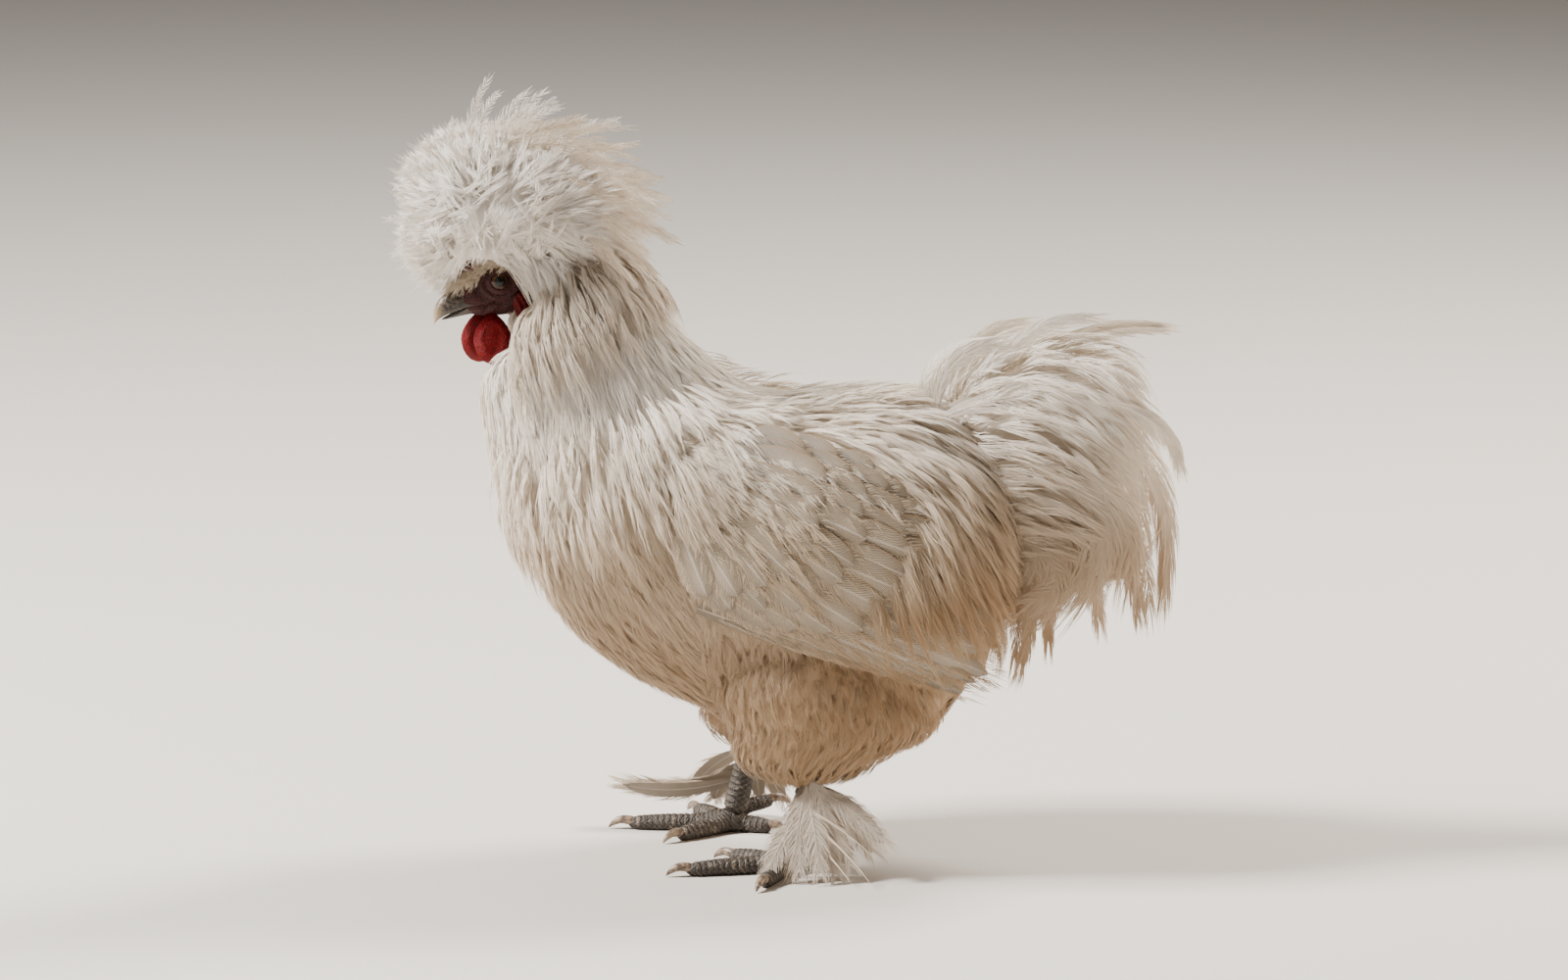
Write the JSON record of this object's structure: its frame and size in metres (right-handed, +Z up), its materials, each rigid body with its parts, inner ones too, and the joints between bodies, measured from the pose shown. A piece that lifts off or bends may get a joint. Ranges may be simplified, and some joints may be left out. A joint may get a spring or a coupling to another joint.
{
  "type": "silkie chicken",
  "caption": "Life-size still model of a white silkie cock standing: globe crest, wattles, silky hackle, folded wings, soft tail and feathered feet.",
  "frame": {"origin": "middle of the bounding box's base, on the floor between and a little behind the feet", "axes": "+Z up, -X the way the bird faces, -Y its left side, +Y its right side"},
  "size_m": [0.3482, 0.162, 0.352],
  "materials": {
    "face_skin": "dull dark red pebbly skin",
    "comb_skin": "dull mulberry red pebbly skin",
    "wattle_skin": "soft satin red skin",
    "lobe_skin": "soft satin red skin with a fold",
    "eye": "wet and glossy, near black",
    "beak_horn": "satin dark horn, paler at the tip",
    "claw_horn": "satin brown horn",
    "leg_scale": "matt dark scaly skin",
    "crest_plumage": "silky cool white plumage",
    "body_plumage": "silky cream white plumage",
    "leg_plumage": "fine cream down",
    "wing_plumage": "cream vanes with tan edges",
    "tail_plumage": "shredded cream vanes",
    "foot_plumage": "cream vanes with tan quills"
  },
  "bodies": {
    "root": {"head": "face_skin", "beak_upper": "beak_horn", "beak_lower": "beak_horn", "comb": "comb_skin", "crest": "crest_plumage", "neck": "body_plumage", "torso": "body_plumage", "tail": "tail_plumage", "eye_left": "eye", "wattle_left": "wattle_skin", "earlobe_left": "lobe_skin", "wing_left": "wing_plumage", "thigh_left": "leg_plumage", "shank_left": "leg_scale", "foot_left": "leg_scale", "foot_feathers_left": "foot_plumage", "claw_left_inner": "claw_horn", "claw_left_middle": "claw_horn", "claw_left_outer": "claw_horn", "claw_left_hind": "claw_horn", "claw_left_fifth": "claw_horn", "eye_right": "eye", "wattle_right": "wattle_skin", "earlobe_right": "lobe_skin", "wing_right": "wing_plumage", "thigh_right": "leg_plumage", "shank_right": "leg_scale", "foot_right": "leg_scale", "foot_feathers_right": "foot_plumage", "claw_right_inner": "claw_horn", "claw_right_middle": "claw_horn", "claw_right_outer": "claw_horn", "claw_right_hind": "claw_horn", "claw_right_fifth": "claw_horn"}
  },
  "joints": []
}
